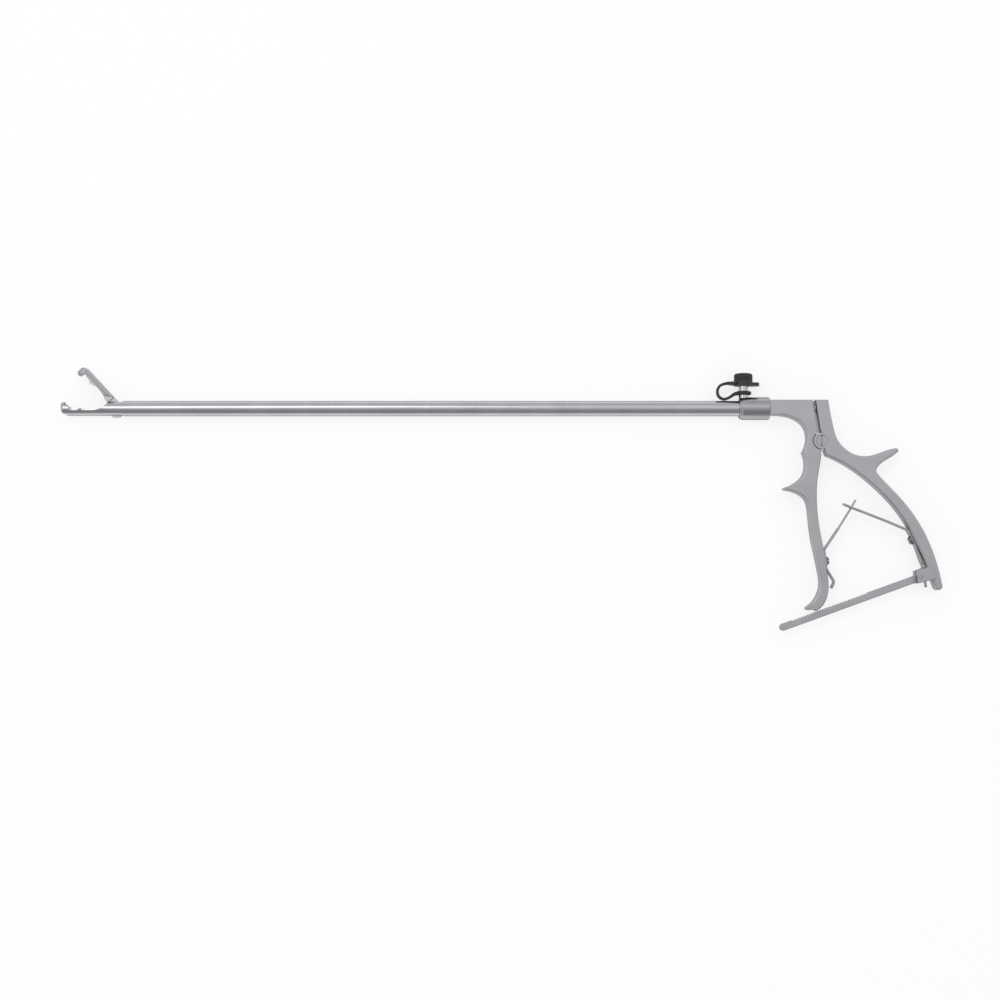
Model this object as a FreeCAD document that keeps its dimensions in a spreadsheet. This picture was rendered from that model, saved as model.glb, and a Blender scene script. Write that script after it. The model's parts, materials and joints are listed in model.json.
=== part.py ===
"""Hysteroscopic grasping forceps.

The shaft lies along X, with the jaws at -X and the handles at +X. Y points to the flush port
and Z out of the handles' near side. The origin is on the shaft's axis at the collar's front.
"""
import FreeCAD, Part
import math
import os
import re
from types import SimpleNamespace

from FreeCAD import Placement, Rotation, Vector

SIZES = dict(
    # Clearances
    fit_gap=0.02,
    run_gap=0.05,
    slide_gap=0.1,
    # Shaft tube, measured from the collar's front face
    tube_radius=4.0,
    tube_bore_radius=3.2,
    tube_reach=320.0,
    tube_socket=6.5,
    tube_socket_radius=3.75,
    # Collar and seal
    collar_radius=5.9,
    collar_length=15.6,
    collar_lip_radius=5.55,
    collar_lip_length=1.1,
    collar_chamfer=0.4,
    handle_spigot_radius=4.4,
    seal_length=2.4,
    gland_length=1.2,
    # Flush port
    port_x=2.3,
    port_bore_radius=1.2,
    stem_radius=2.45,
    stem_spigot_radius=1.95,
    stem_seat_height=5.3,
    stem_height=15.0,
    ring_radius=4.2,
    ring_low=7.0,
    ring_thickness=2.0,
    cap_radius=4.8,
    cap_low=11.75,
    cap_height=6.5,
    cap_bore_depth=3.6,
    cap_round=1.3,
    cap_rib_count=28,
    cap_rib_radius=0.32,
    cap_rib_end=1.6,
    tab_reach=8.3,
    tab_width=6.0,
    tab_thickness=1.65,
    strap_thickness=1.5,
    strap_width=4.0,
    soft_gap=0.3,
    # Jaws
    pivot_lead=3.6,
    pivot_height=2.2,
    jaw_opening=47.0,
    jaw_radius=3.8,
    closed_radius=3.9,
    jaw_length=26.3,
    lower_jaw_length=29.0,
    trough_radius=2.7,
    bowl_radius=2.75,
    bowl_center=24.1,
    hook_radius=2.45,
    housing_spigot=8.0,
    housing_slot=3.4,
    nose_slot=2.2,
    arm_thickness=3.2,
    crank_thickness=1.7,
    crank_radius=4.4,
    nose_radius=6.9,
    nose_half_angle=21.0,
    boss_radius=1.2,
    jaw_pin_radius=0.9,
    crank_pin_radius=0.6,
    # Pull rod
    rod_radius=1.3,
    fork_slot=1.9,
    fork_bottom=2.6,
    fork_top=0.8,
    fork_front=1.6,
    fork_back=4.4,
    fork_block=2.2,
    pin_slot_gap=0.2,
    ball_radius=2.0,
    ball_stub_radius=0.7,
    ball_stub_length=5.0,
    # Handles
    handle_thickness=8.0,
    arm_top=4.3,
    arm_bottom=3.5,
    handle_pivot_x=42.3,
    handle_pivot_drop=17.1,
    disc_radius=4.3,
    recess_radius=4.65,
    web_overlap=1.0,
    web_turn=6.0,
    gap_width=1.28,
    gap_tilt=9.5,
    gap_shift=0.35,
    screw_head_radius=2.8,
    screw_head_height=1.2,
    screw_shank_radius=1.5,
    screw_slot_width=0.7,
    screw_slot_depth=0.6,
    ball_offset=0.95,
    slot_wall=1.3,
    slot_width=4.3,
    slot_depth=2.5,
    neck_slot=3.0,
    # Leaf springs
    leaf_thickness=0.9,
    leaf_width=5.2,
    tongue_width=2.2,
    leaf_screw_head_radius=2.4,
    leaf_screw_head_height=1.6,
    leaf_screw_radius=1.1,
    leaf_screw_length=3.0,
    # Ratchet
    bar_angle=19.92,
    bar_height=3.7,
    bar_thickness=3.0,
    bar_length=76.8,
    bar_pivot_x=92.4,
    bar_pivot_drop=87.86,
    bar_slot=3.4,
    block_thickness=11.5,
    bar_pin_radius=0.8,
    tooth_pitch=1.05,
    tooth_depth=0.6,
    tooth_count=40,
    tooth_start=6.8,
    detent_gap=0.3,
)
DERIVED = dict(
    pivot_reach="=tube_reach + pivot_lead",
)

doc = FreeCAD.newDocument("grasping_forceps")
sheet = doc.addObject("Spreadsheet::Sheet", "Sizes")
for row, (alias, content) in enumerate({**SIZES, **DERIVED}.items(), start=1):
    sheet.set(f"A{row}", alias)
    sheet.set(f"B{row}", str(content))
    sheet.setAlias(f"B{row}", alias)
doc.recompute()
S = SimpleNamespace(**SIZES, **{alias: float(sheet.get(alias)) for alias in DERIVED})

X, Y, Z = Vector(1, 0, 0), Vector(0, 1, 0), Vector(0, 0, 1)
ALIAS = re.compile(r"\b(" + "|".join(sorted(vars(S), key=len, reverse=True)) + r")\b")
nodes = {}


def formula(text):
    """The text with each size written as a reference to the sheet."""
    return ALIAS.sub(r"Sizes.\1", str(text))


def bind(thing, **formulas):
    for field, text in formulas.items():
        thing.setExpression(field, formula(text))
    return thing


def bind_place(thing, at):
    """Bind the three coordinates of an object's place."""
    for letter, text in zip("xyz", at):
        thing.setExpression(f"Placement.Base.{letter}", formula(text))
    return thing


def cylinder(name, radius, length, at=(0, 0, 0), along=Z):
    """A cylinder that starts at a place and runs along a direction."""
    thing = doc.addObject("Part::Cylinder", name)
    thing.Placement = Placement(Vector(), Rotation(Z, along))
    bind(thing, Radius=radius, Height=length)
    return bind_place(thing, at)


def box(name, low, high):
    """A box between two corners, each given as three formulas."""
    thing = doc.addObject("Part::Box", name)
    sides = [f"({b}) - ({a})" for a, b in zip(low, high)]
    bind(thing, Length=sides[0], Width=sides[1], Height=sides[2])
    return bind_place(thing, low)


def sphere(name, radius, at):
    thing = doc.addObject("Part::Sphere", name)
    bind(thing, Radius=radius)
    return bind_place(thing, at)


def fuse(name, *shapes):
    thing = doc.addObject("Part::MultiFuse", name)
    thing.Shapes = list(shapes)
    return thing


def common(name, *shapes):
    thing = doc.addObject("Part::MultiCommon", name)
    thing.Shapes = list(shapes)
    return thing


def cut(name, base, *tools):
    thing = doc.addObject("Part::Cut", name)
    thing.Base = base
    thing.Tool = tools[0] if len(tools) == 1 else fuse(name + "_tools", *tools)
    return thing


def sketch(name, pieces):
    """A closed outline. A piece of 2 points is a line, of 3 an arc and of more a smooth curve."""
    thing = doc.addObject("Sketcher::SketchObject", name)
    for points in pieces:
        ends = [Vector(x, y, 0) for x, y in points]
        if len(ends) == 2:
            thing.addGeometry(Part.LineSegment(*ends), False)
        elif len(ends) == 3:
            thing.addGeometry(Part.Arc(*ends), False)
        else:
            curve = Part.BSplineCurve()
            curve.interpolate(ends)
            thing.addGeometry(curve, False)
    return thing


def polygon(points):
    """The sides of a closed polygon."""
    return [list(side) for side in zip(points, points[1:] + points[:1])]


def prism(name, pieces, low, high):
    """An outline in the XY plane that is extruded from one height to another."""
    outline = sketch(name + "_outline", pieces)
    bind_place(outline, (0, 0, low))
    thing = doc.addObject("Part::Extrusion", name)
    thing.Base = outline
    thing.DirMode = "Custom"
    thing.Dir = Z
    thing.Solid = True
    return bind(thing, LengthFwd=f"({high}) - ({low})")


def turned(name, pieces, at=(0, 0, 0), along=X):
    """A profile in the XY plane, turned about its X axis and then laid along a direction."""
    profile = sketch(name + "_profile", pieces)
    thing = doc.addObject("Part::Revolution", name)
    thing.Source = profile
    thing.Axis = X
    thing.Solid = True
    thing.Placement = Placement(Vector(), Rotation(X, along))
    return bind_place(thing, at)


def node(thing, name):
    """Name a finished piece."""
    thing.Label = name
    nodes[name] = thing
    return thing


def polar(center, radius, degrees):
    angle = math.radians(degrees)
    return (center[0] + radius * math.cos(angle), center[1] + radius * math.sin(angle))


def arc_points(center, radius, start, end):
    """The three points of an arc between two angles."""
    return [polar(center, radius, turn) for turn in (start, (start + end) / 2, end)]


def bent_strip(points, radii, thickness):
    """The outline of a flat strip, bent to a radius at each inner point of its middle line."""
    half_thick = thickness / 2
    sides = {1: [], -1: []}
    last = {}

    def beside(point, direction, side):
        return (point.x - side * direction.y * half_thick, point.y + side * direction.x * half_thick)

    corners = [Vector(x, y, 0) for x, y in points]
    for place, corner in enumerate(corners):
        before = (corner - corners[place - 1]).normalize() if place else None
        after = (corners[place + 1] - corner).normalize() if place + 1 < len(corners) else None
        if before is None:
            last = {side: beside(corner, after, side) for side in sides}
        elif after is None:
            for side, found in sides.items():
                found.append([last[side], beside(corner, before, side)])
                last[side] = found[-1][-1]
        else:
            turn = before.getAngle(after)
            bend = 1 if before.cross(after).z > 0 else -1
            setback = radii[place - 1] * math.tan(turn / 2)
            enter, leave = corner - before * setback, corner + after * setback
            middle = corner + (after - before).normalize() * (radii[place - 1] / math.cos(turn / 2))
            inward = (corner - middle).normalize()
            for side, found in sides.items():
                radius = radii[place - 1] - bend * side * half_thick
                crown = middle + inward * radius
                found.append([last[side], beside(enter, before, side)])
                found.append([found[-1][-1], (crown.x, crown.y), beside(leave, after, side)])
                last[side] = found[-1][-1]
    right = [piece[::-1] for piece in sides[-1][::-1]]
    start, end = sides[1][0][0], sides[1][-1][-1]
    return [*sides[1], [end, right[0][0]], *right, [right[-1][-1], start]]


# Shaft tube
PORT_DEEP = "tube_radius + collar_radius"
tube = cut(
    "TubeCut",
    fuse(
        "TubeBody",
        cylinder("TubeOutside", "tube_radius", "tube_reach - fit_gap", ("-tube_reach", 0, 0), X),
        cylinder("TubeSocketEnd", "tube_socket_radius", "tube_socket + 1", ("-1", 0, 0), X),
    ),
    cylinder("TubeBore", "tube_bore_radius", "tube_reach + tube_socket + 2", ("-tube_reach - 1", 0, 0), X),
    cylinder("TubePort", "port_bore_radius", PORT_DEEP, ("port_x", 0, 0), Y),
    box(
        "TubeNoseNotch",
        ("-tube_reach - 1", "-tube_radius - 1", "-nose_slot / 2"),
        ("-tube_reach + 2.2", "-pivot_height", "nose_slot / 2"),
    ),
)
node(tube, "outer_tube")

# Collar, with a socket for the tube in front and one for the handle behind
lip_step = S.collar_radius - S.collar_lip_radius
collar_profile = polygon([
    (0, 0),
    (0, S.collar_lip_radius - S.collar_chamfer),
    (S.collar_chamfer, S.collar_lip_radius),
    (S.collar_lip_length, S.collar_lip_radius),
    (S.collar_lip_length + lip_step, S.collar_radius),
    (S.collar_length - S.collar_chamfer, S.collar_radius),
    (S.collar_length, S.collar_radius - S.collar_chamfer),
    (S.collar_length, 0),
])
collar = cut(
    "CollarCut",
    turned("CollarBlank", collar_profile),
    cylinder("CollarTubeBore", "tube_socket_radius + fit_gap", "tube_socket + fit_gap + 1", ("-1", 0, 0), X),
    cylinder(
        "CollarHandleBore", "handle_spigot_radius + fit_gap", "collar_length", ("tube_socket + fit_gap", 0, 0), X
    ),
    cylinder("CollarPortHole", "stem_spigot_radius + fit_gap", PORT_DEEP, ("port_x", 0, 0), Y),
    cylinder("CollarPortSeat", "stem_radius + slide_gap", "collar_radius", ("port_x", "stem_seat_height", 0), Y),
)
node(collar, "collar")

# Flush port: a nipple with a through bore
stem_start = S.tube_socket_radius + S.fit_gap
stem_profile = polygon([
    (stem_start, 0),
    (stem_start, S.stem_spigot_radius),
    (S.stem_seat_height + S.fit_gap, S.stem_spigot_radius),
    (S.stem_seat_height + S.fit_gap, S.stem_radius),
    (S.stem_height - S.collar_chamfer, S.stem_radius),
    (S.stem_height, S.stem_radius - S.collar_chamfer),
    (S.stem_height, 0),
])
stem = cut(
    "StemCut",
    turned("StemBlank", stem_profile, ("port_x", 0, 0), Y),
    cylinder("StemBore", "port_bore_radius", "stem_height + 2", ("port_x", 0, 0), Y),
)
node(stem, "port_stem")

# Rubber ring round the nipple
ring_round = S.ring_thickness / 2
ring_high = S.ring_low + S.ring_thickness
ring_profile = [
    [(S.ring_low, S.stem_radius + S.fit_gap), (S.ring_low, S.ring_radius - ring_round)],
    arc_points((S.ring_low + ring_round, S.ring_radius - ring_round), ring_round, 180, 0),
    [(ring_high, S.ring_radius - ring_round), (ring_high, S.stem_radius + S.fit_gap)],
    [(ring_high, S.stem_radius + S.fit_gap), (S.ring_low, S.stem_radius + S.fit_gap)],
]
node(turned("RingBlank", ring_profile, ("port_x", 0, 0), Y), "cap_ring")


def make_cap():
    """Rubber cap with a rounded top, ribbed sides and a pull tab."""
    low, high = S.cap_low, S.cap_low + S.cap_height
    rim = S.cap_radius - S.cap_round
    profile = [
        [(low, 0), (low, S.cap_radius)],
        [(low, S.cap_radius), (high - S.cap_round, S.cap_radius)],
        arc_points((high - S.cap_round, rim), S.cap_round, 90, 0),
        [(high, rim), (high, 0)],
        [(high, 0), (low, 0)],
    ]
    blank = turned("CapBlank", profile, ("port_x", 0, 0), Y)
    tab = fuse(
        "CapTab",
        box(
            "CapTabPlate",
            ("port_x", "cap_low", "-tab_width / 2"),
            ("port_x + tab_reach - tab_width / 2", "cap_low + tab_thickness", "tab_width / 2"),
        ),
        cylinder(
            "CapTabEnd", "tab_width / 2", "tab_thickness", ("port_x + tab_reach - tab_width / 2", "cap_low", 0), Y
        ),
    )
    grooves = []
    for number in range(S.cap_rib_count):
        turn = 360 * number / S.cap_rib_count
        groove = cylinder(
            f"CapGroove{number}",
            "cap_rib_radius",
            "cap_height",
            (
                f"port_x + cap_radius * cos({turn})",
                "cap_low + cap_rib_end + tab_thickness / 2",
                f"cap_radius * sin({turn})",
            ),
            Y,
        )
        grooves.append(groove)
    bore = cylinder(
        "CapBore", "stem_radius + soft_gap / 2", "cap_bore_depth + 1", ("port_x", "cap_low - 1", 0), Y
    )
    return cut("CapCut", fuse("CapForm", cut("CapRibs", blank, *grooves), tab), bore)


node(make_cap(), "port_cap")


def make_strap():
    """Rubber strap that loops from the cap down to the ring."""
    start = S.port_x - S.cap_radius - S.soft_gap
    end = S.port_x - S.ring_radius - S.soft_gap - S.strap_thickness / 4
    loop = [(start, 13.05), (start - 6.0, 12.9), (start - 9.2, 8.8), (start - 6.0, 4.6), (end, 7.3)]
    outline = bent_strip(loop, [4.0, 3.3, 3.2], S.strap_thickness)
    return prism("StrapBand", outline, "-strap_width / 2", "strap_width / 2")


node(make_strap(), "cap_strap")

# Jaws, drawn by their distance ahead of the jaw pivot
PIVOT = (-S.pivot_reach, S.pivot_height)


def ahead(points):
    return [(PIVOT[0] - distance, height) for distance, height in points]


def make_housing():
    """Fixed lower jaw: a toothed bowl, a trough and two cheeks that plug into the tube."""
    tip, rear, top = S.lower_jaw_length, S.pivot_lead, S.tube_radius + 0.5
    rim = -1.15
    outline = [
        ahead([(-rear, -top), (tip - 4.6, -top)]),
        ahead([(tip - 4.6, -top), (tip - 4.4, -S.jaw_radius)]),
        ahead([(tip - 4.4, -S.jaw_radius), (tip - 1.5, -2.5), (tip, 0.3)]),
        ahead([(tip, 0.3), (tip - 0.1, 1.6)]),
        ahead([(tip - 0.1, 1.6), (tip - 0.7, 2.7), (tip - 1.9, 3.3)]),
    ]
    teeth = [
        (tip - 1.9, 3.3), (tip - 2.4, 1.5), (tip - 3.0, 2.1), (tip - 3.5, 0.6), (tip - 4.2, 1.35),
        (tip - 4.7, -0.5), (tip - 5.3, rim), (tip - 9.3, rim), (tip - 10.0, 0.3), (tip - 11.1, 0.3),
        (tip - 11.4, rim), (11.3, rim),
    ]
    outline += [ahead(pair) for pair in zip(teeth, teeth[1:])]
    outline += [
        ahead([(11.3, rim), (8.4, -0.3), (5.4, 1.7), (2.6, top)]),
        ahead([(2.6, top), (-rear, top)]),
        ahead([(-rear, top), (-rear, -top)]),
    ]
    width = S.tube_radius + 1
    nose = [
        [(-S.tube_reach, -width), (PIVOT[0] - tip + 5, -width)],
        [(PIVOT[0] - tip + 5, -width), (PIVOT[0] - tip, 0), (PIVOT[0] - tip + 5, width)],
        [(PIVOT[0] - tip + 5, width), (-S.tube_reach, width)],
        [(-S.tube_reach, width), (-S.tube_reach, -width)],
    ]
    plan = prism("HousingPlan", nose, "-tube_radius", "tube_radius")
    plan.Placement = Placement(Vector(), Rotation(X, 90))
    body = common(
        "HousingForm",
        prism("HousingSide", outline, "-tube_radius", "tube_radius"),
        cylinder("HousingRound", "jaw_radius", "lower_jaw_length + 10", ("-pivot_reach - lower_jaw_length", 0, 0), X),
        plan,
    )
    spigot = cylinder(
        "HousingSpigot", "tube_bore_radius - fit_gap", "housing_spigot + 1", ("-tube_reach - 1", 0, 0), X
    )
    slot_start = -S.pivot_reach - 7.4
    hollows = [
        cylinder(
            "HousingTrough", "trough_radius", "bowl_center - 7", ("-pivot_reach - bowl_center", 0, 0), X
        ),
        sphere("HousingBowl", "bowl_radius", ("-pivot_reach - bowl_center", 0, 0)),
        cylinder("HousingMouth", "bowl_radius", "2 * tube_radius", ("-pivot_reach - bowl_center", 0, 0), Y),
        box(
            "HousingSlot",
            (slot_start, "-fork_bottom - 0.3", "-housing_slot / 2"),
            ("-tube_reach + housing_spigot + 1", "tube_radius + 1", "housing_slot / 2"),
        ),
        box(
            "HousingSpigotSlot",
            ("-tube_reach", "-tube_radius", "-housing_slot / 2"),
            ("-tube_reach + housing_spigot + 1", "0", "housing_slot / 2"),
        ),
        box(
            "HousingNoseSlot",
            ("-pivot_reach - 4.0", "-tube_radius - 1", "-nose_slot / 2"),
            ("-tube_reach + housing_spigot + 1", "0", "nose_slot / 2"),
        ),
        cylinder(
            "HousingPinHole", "jaw_pin_radius + fit_gap", "2 * tube_radius + 2",
            ("-pivot_reach", "pivot_height", "-tube_radius - 1"),
        ),
    ]
    return cut("HousingCut", fuse("HousingBody", body, spigot), *hollows)


node(make_housing(), "jaw_housing")
node(
    common(
        "JawPinTrimmed",
        cylinder(
            "JawPin", "jaw_pin_radius", "2 * tube_radius", ("-pivot_reach", "pivot_height", "-tube_radius")
        ),
        cylinder("JawPinLimit", "jaw_radius", "4 * jaw_radius", ("-pivot_reach - 2 * jaw_radius", 0, 0), X),
    ),
    "jaw_pivot_pin",
)

# Angles of the crank about the jaw pivot
CRANK_OPEN = 270
CRANK_CLOSED = CRANK_OPEN + S.jaw_opening
open_pin = polar(PIVOT, S.crank_radius, CRANK_OPEN)
jaw_swing = Placement(Vector(), Rotation(Z, -S.jaw_opening), Vector(*PIVOT, 0))


def make_upper_jaw():
    """Moving jaw with its crank, drawn closed and then swung open about the pivot."""
    tip = S.jaw_length
    over = S.jaw_radius + 0.5
    side = [
        (2.9, over), (8.1, 0.55), (11.3, 1.0), (14.3, 0.7), (17.2, -0.5), (17.8, 0.45), (23.4, 1.0),
    ]
    outline = [ahead(pair) for pair in zip(side, side[1:])]
    outline += [
        ahead([(23.4, 1.0), (23.7, -1.5)]),
        ahead([(23.7, -1.5), (24.9, -2.1), (26.1, -1.6)]),
        ahead([(26.1, -1.6), (tip, 0.4), (tip, 2.1)]),
        ahead([(tip, 2.1), (24.6, 3.3), (22.0, over)]),
        ahead([(22.0, over), (2.9, over)]),
    ]
    round_bar = cylinder("JawRound", "jaw_radius", "jaw_length + 1", ("-pivot_reach - jaw_length - 1", 0, 0), X)
    form = common("JawForm", prism("JawSide", outline, "-jaw_radius", "jaw_radius"), round_bar)
    bite = cut(
        "JawBite",
        form,
        cylinder("JawTrough", "trough_radius", "11.5", ("-pivot_reach - 22.6", 0, 0), X),
        box(
            "JawNoseTrim",
            ("-pivot_reach - jaw_length - 1", "-jaw_radius - 1", "-jaw_radius - 1"),
            ("-pivot_reach - jaw_length + 3", "jaw_radius + 1", "jaw_radius + 1"),
        ),
    )
    hook_outline = prism("JawHookSide", outline, "-jaw_radius", "jaw_radius")
    hook = common(
        "JawHook",
        hook_outline,
        fuse(
            "JawHookRound",
            cylinder(
                "JawHookSides", "hook_radius", "jaw_radius", ("-pivot_reach - bowl_center", 0, 0), Y
            ),
            sphere("JawHookBottom", "hook_radius", ("-pivot_reach - bowl_center", 0, 0)),
        ),
        cylinder("JawHookLimit", "jaw_radius", "jaw_length + 1", ("-pivot_reach - jaw_length - 1", 0, 0), X),
    )
    arm_side = ahead([(9.6, 3.7), (3.6, 3.7), (3.6, 0.6), (4.6, -0.5), (5.6, -0.5), (7.5, 0.2), (9.6, 0.8)])
    arm = prism("JawArm", polygon(arm_side), "-arm_thickness / 2", "arm_thickness / 2")
    nose = arc_points(
        PIVOT, S.nose_radius, CRANK_CLOSED + S.nose_half_angle, CRANK_CLOSED - S.nose_half_angle
    )
    top = ahead([(-1.3, 3.3), (-0.6, 3.85), (0.8, 3.85)])
    arm_start = ahead([(4.6, -0.6), (5.0, 3.7)])
    plate = [
        nose, [nose[-1], arm_start[0]], arm_start, [arm_start[1], top[2]], top[::-1], [top[0], nose[0]]
    ]
    crank = prism("JawCrank", plate, "-crank_thickness / 2", "crank_thickness / 2")
    boss = cylinder(
        "JawBoss", "boss_radius", "arm_thickness", ("-pivot_reach", "pivot_height", "-arm_thickness / 2")
    )
    pin_hole = cylinder(
        "JawPivotHole", "jaw_pin_radius + run_gap", "2 * tube_radius",
        ("-pivot_reach", "pivot_height", "-tube_radius"),
    )
    closed_pin = polar(PIVOT, S.crank_radius, CRANK_CLOSED)
    crank_hole = cylinder(
        "JawCrankHole", "crank_pin_radius + fit_gap", "2 * tube_radius",
        (closed_pin[0], closed_pin[1], "-tube_radius"),
    )
    body = common(
        "JawWithinShaft",
        fuse("JawBody", bite, hook, arm, crank, boss),
        cylinder("JawLimit", "closed_radius", "jaw_length + 10", ("-pivot_reach - jaw_length - 1", 0, 0), X),
    )
    jaw = cut("JawCut", body, pin_hole, crank_hole)
    jaw.Placement = jaw_swing
    return jaw


node(make_upper_jaw(), "upper_jaw")
node(
    cylinder("CrankPin", "crank_pin_radius", "arm_thickness", (open_pin[0], open_pin[1], "-arm_thickness / 2")),
    "crank_pin",
)

# Pull rod with its fork, and the ball at its rear end
BALL_X = "handle_pivot_x + ball_offset"
fork_base = cut(
    "ForkCut",
    fuse(
        "ForkBody",
        box(
            "ForkBlock",
            ("-pivot_reach - fork_front", "-fork_bottom", "-arm_thickness / 2"),
            ("-pivot_reach + fork_back + fork_block", "fork_top", "arm_thickness / 2"),
        ),
        cylinder(
            "RodShank", "rod_radius",
            f"{BALL_X} - 0.75 * ball_radius - fit_gap + pivot_reach - fork_back - 1",
            ("-pivot_reach + fork_back + 1", 0, 0), X,
        ),
    ),
    box(
        "ForkSlot",
        ("-pivot_reach - fork_front - 1", "-fork_bottom - 1", "-fork_slot / 2"),
        ("-pivot_reach + fork_back", "rod_radius + 1", "fork_slot / 2"),
    ),
    box(
        "ForkPinSlot",
        ("-pivot_reach - crank_pin_radius - pin_slot_gap", "-fork_bottom - 1", "-arm_thickness"),
        ("-pivot_reach + crank_pin_radius + pin_slot_gap", "0", "arm_thickness"),
    ),
    cylinder(
        "RodStubHole", "ball_stub_radius + fit_gap", "ball_stub_length + 1",
        (f"{BALL_X} - 0.75 * ball_radius - ball_stub_length", 0, 0), X,
    ),
)
node(fork_base, "pull_rod")
ball = fuse(
    "BallBody",
    cut(
        "BallFlat",
        sphere("Ball", "ball_radius", (BALL_X, 0, 0)),
        box(
            "BallTrim",
            (f"{BALL_X} - 2 * ball_radius", "-ball_radius", "-ball_radius"),
            (f"{BALL_X} - 0.75 * ball_radius", "ball_radius", "ball_radius"),
        ),
    ),
    cylinder(
        "BallStub", "ball_stub_radius", "ball_stub_length",
        (f"{BALL_X} - 0.75 * ball_radius - ball_stub_length + fit_gap", 0, 0), X,
    ),
)
node(ball, "rod_end")

# Seal behind the flush port and the gland that backs it
GLAND_END = "tube_socket + fit_gap + seal_length + fit_gap + gland_length"
seal = cut(
    "SealCut",
    cylinder("SealRing", "handle_spigot_radius", "seal_length", ("tube_socket + 2 * fit_gap", 0, 0), X),
    cylinder("SealBore", "rod_radius + run_gap", "seal_length + 2", ("tube_socket - 1", 0, 0), X),
)
node(seal, "rod_seal")
gland = cut(
    "GlandCut",
    cylinder(
        "GlandRing", "handle_spigot_radius", "gland_length", ("tube_socket + 3 * fit_gap + seal_length", 0, 0), X
    ),
    cylinder(
        "GlandBore", "rod_radius + slide_gap", "gland_length + 2", ("tube_socket + seal_length - 1", 0, 0), X
    ),
)
node(gland, "seal_gland")

# Handles, drawn about their pivot
HINGE = (S.handle_pivot_x, -S.handle_pivot_drop)
tilt = math.tan(math.radians(S.gap_tilt))
half_gap = S.gap_width / 2 / math.cos(math.radians(S.gap_tilt))
HALF = "handle_thickness / 2"


def gap_edge(height, side):
    """A point of the gap between the handles, on the arm's side (-1) or the lever's side (1)."""
    middle = HINGE[0] - S.gap_shift - (height - HINGE[1]) * tilt
    return (middle + side * half_gap, height)


def recess_start(side):
    """The angle at which one edge of the gap enters the recess round the pivot, from above."""
    offset = (side * half_gap - S.gap_shift) * math.cos(math.radians(S.gap_tilt))
    return 90 + S.gap_tilt - math.degrees(math.asin(offset / S.recess_radius))


def hinge_side(side, recess_end):
    """Edge of a handle at the pivot, from the gap's top round the recess for the other's disc."""
    turns = (recess_start(side), recess_end if side < 0 else recess_end - 360)
    recess = arc_points(HINGE, S.recess_radius, *turns)
    return [[gap_edge(S.arm_top, side), recess[0]], recess]


def disc_and_web(name, side, recess_end, low, high):
    """The disc of one handle and the web that joins it to the handle, half as thick as the handle."""
    outside = S.recess_radius + S.web_overlap / 2
    upper = polar(HINGE, outside, recess_start(side) - side * S.web_turn)
    lower = polar(HINGE, outside, recess_end + side * S.web_turn)
    inner = HINGE[0] + side * (S.recess_radius + S.web_overlap)
    web = polygon([upper, (inner, upper[1]), (inner, lower[1]), lower])
    disc = cylinder(
        name + "Disc", "disc_radius", f"({high}) - ({low})", ("handle_pivot_x", "-handle_pivot_drop", low)
    )
    return [disc, prism(name + "Web", web, low, high)]


FRONT_RECESS_END = 266
LEVER_RECESS_END = 286
FRONT_SEAT = [(42.9, -73.6), (44.0, -83.4)]
REAR_SEAT = [(87.2, -63.0), (91.2, -71.4)]


def front_outline():
    """The front handle's edge, from the arm's top round the grip to the collar."""
    bore_end = S.collar_length
    top = [(bore_end, S.arm_top), gap_edge(S.arm_top, -1)]
    hinge = hinge_side(-1, FRONT_RECESS_END)
    below = hinge[-1][-1]
    tooth = (38.7, bar_top(38.7) + S.detent_gap)
    return [
        top,
        *hinge,
        [below, (41.6, -27.5), (40.2, -35.5), (39.5, -46.0), (40.1, -57.0), (41.6, -67.0), FRONT_SEAT[0]],
        FRONT_SEAT,
        [FRONT_SEAT[1], (45.1, -89.4), (45.0, -95.0), (43.2, -100.6), (39.4, tooth[1] + 0.3)],
        [(39.4, tooth[1] + 0.3), tooth],
        [tooth, (38.0, tooth[1] + 0.7)],
        [(38.0, tooth[1] + 0.7), (35.0, tooth[1] + 0.6)],
        [(35.0, tooth[1] + 0.6), (33.7, -103.9), (34.3, -102.8)],
        [
            (34.3, -102.8), (38.2, -98.8), (40.7, -92.5), (40.1, -84.5), (38.0, -74.5), (36.1, -63.5),
            (35.2, -54.0), (33.3, -47.2), (29.2, -44.2), (23.3, -42.6),
        ],
        [(23.3, -42.6), (22.5, -41.9), (23.2, -41.2)],
        [(23.2, -41.2), (28.7, -38.6), (32.5, -34.7), (33.7, -29.5), (32.3, -23.1)],
        [
            (32.3, -23.1), (34.2, -18.9), (34.6, -13.8), (32.6, -8.9), (28.3, -5.6), (22.5, -3.9),
            (bore_end, -S.arm_bottom),
        ],
        [(bore_end, -S.arm_bottom), (bore_end, S.arm_top)],
    ]


def bar_top(x):
    """Height of the ratchet bar's upper edge at one place along the shaft."""
    slope = math.radians(S.bar_angle)
    return -S.bar_pivot_drop - (S.bar_pivot_x - x) * math.tan(slope) + S.bar_height / 2 / math.cos(slope)


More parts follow.
